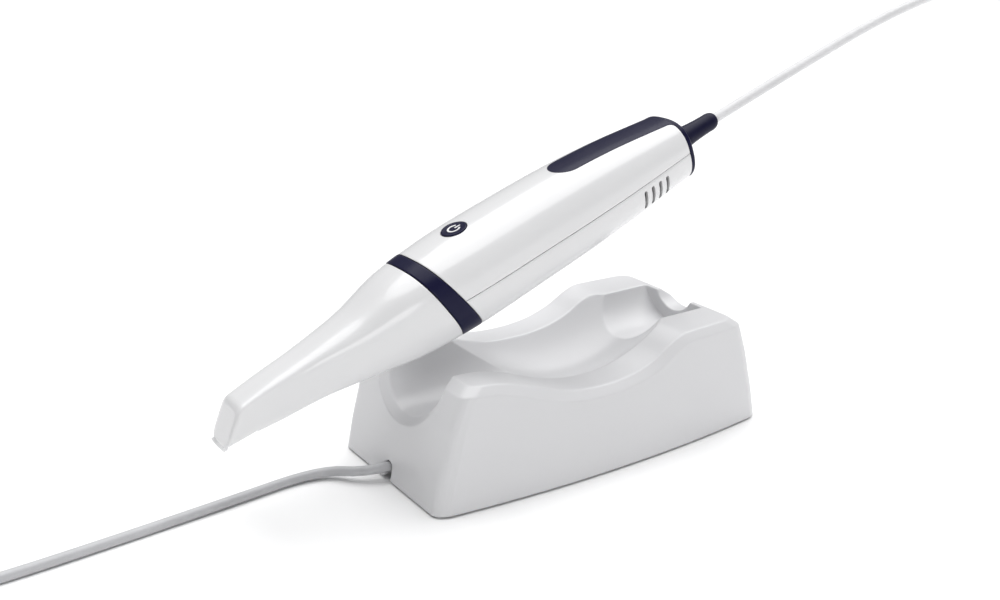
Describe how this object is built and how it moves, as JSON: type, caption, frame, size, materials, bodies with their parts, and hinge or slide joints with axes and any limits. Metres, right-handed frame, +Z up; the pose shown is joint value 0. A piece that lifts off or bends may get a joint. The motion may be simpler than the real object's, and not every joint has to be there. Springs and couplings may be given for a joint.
{
  "type": "intraoral camera",
  "caption": "Intraoral scanning camera with a removable angled tip, hovering over its trough-shaped desk cradle, with coiled USB cables on the handpiece and the cradle.",
  "frame": {"origin": "centre of the cradle footprint, on the table", "axes": "+X towards the cable end of the handpiece, -X towards the scanning tip, +Z up; the handpiece lies in the XZ plane, pitched 20 degrees"},
  "size_m": [0.6295, 0.0853, 0.1592],
  "materials": {
    "white_shell": "gloss",
    "navy_trim": "gloss",
    "cradle_grey": "satin",
    "boot_navy": "satin",
    "cable_white": "satin",
    "cable_grey": "satin",
    "icon_white": "printed",
    "mirror": "polished",
    "optical_glass": "polished",
    "black_anodised": "anodised",
    "cast_alloy": "as cast",
    "fin_alloy": "satin",
    "black_plastic": "moulded",
    "black_rubber": "matt",
    "circuit_board": "solder mask",
    "amber_film": "film",
    "steel": "zinc plated",
    "plug_steel": "plated",
    "plug_white": "moulded",
    "tongue_white": "moulded"
  },
  "bodies": {
    "cradle": {"cradle_body": "cradle_grey", "base_plate": "black_plastic", "base_pad": "black_rubber", "base_screws": "steel", "ballast_plate": "steel", "dock_board": "circuit_board", "cable_clamp": "black_plastic", "handpiece_cable": "cable_white", "handpiece_cable_coil": "cable_white", "dock_cable": "cable_grey", "dock_cable_coil": "cable_grey", "handpiece_plug_body": "plug_white", "handpiece_plug_shell": "plug_steel", "handpiece_plug_tongue": "tongue_white", "dock_plug_body": "plug_white", "dock_plug_shell": "plug_steel", "dock_plug_tongue": "tongue_white"},
    "handpiece": {"upper_shell": "white_shell", "lower_shell": "white_shell", "ring_band": "navy_trim", "top_inlay": "navy_trim", "case_screws": "steel", "end_cap": "navy_trim", "strain_relief": "boot_navy", "tip_collar": "black_plastic", "seal_ring": "black_rubber", "optics_neck": "black_anodised", "front_window": "optical_glass", "lens_barrel": "black_anodised", "lenses": "optical_glass", "lens_spacers": "black_anodised", "beam_splitter": "optical_glass", "pattern_projector": "fin_alloy", "camera_board": "circuit_board", "optical_chassis": "cast_alloy", "main_board": "circuit_board", "heat_sink": "fin_alloy", "fan_frame": "black_plastic", "board_connector": "tongue_white", "cable_core": "cable_white", "sensor_ribbon": "amber_film", "button_switch": "circuit_board"},
    "tip": {"scan_tip": "white_shell", "tip_mirror": "mirror"},
    "button": {"power_button": "navy_trim", "power_icon": "icon_white"},
    "fan": {"fan_rotor": "black_plastic"}
  },
  "joints": [
    {"name": "wand_lift", "type": "hinge", "parent": "cradle", "child": "handpiece", "pos_m": [-0.1458, 0, 0.0888], "axis": [0, -1, 0], "range_deg": [-16.4, 12], "deforming": ["handpiece_cable"]},
    {"name": "tip_release", "type": "slide", "parent": "handpiece", "child": "tip", "axis": [-0.9397, 0, -0.342], "range_m": [0, 0.05]},
    {"name": "power_button", "type": "slide", "parent": "handpiece", "child": "button", "axis": [0.342, 0, -0.9397], "range_m": [0, 0.0005], "stiffness_N_per_m": 600, "springref_m": -0.001},
    {"name": "fan_spin", "type": "hinge", "parent": "handpiece", "child": "fan", "pos_m": [0.02936, 0, 0.09498], "axis": [0.9397, 0, 0.342], "continuous": true}
  ]
}
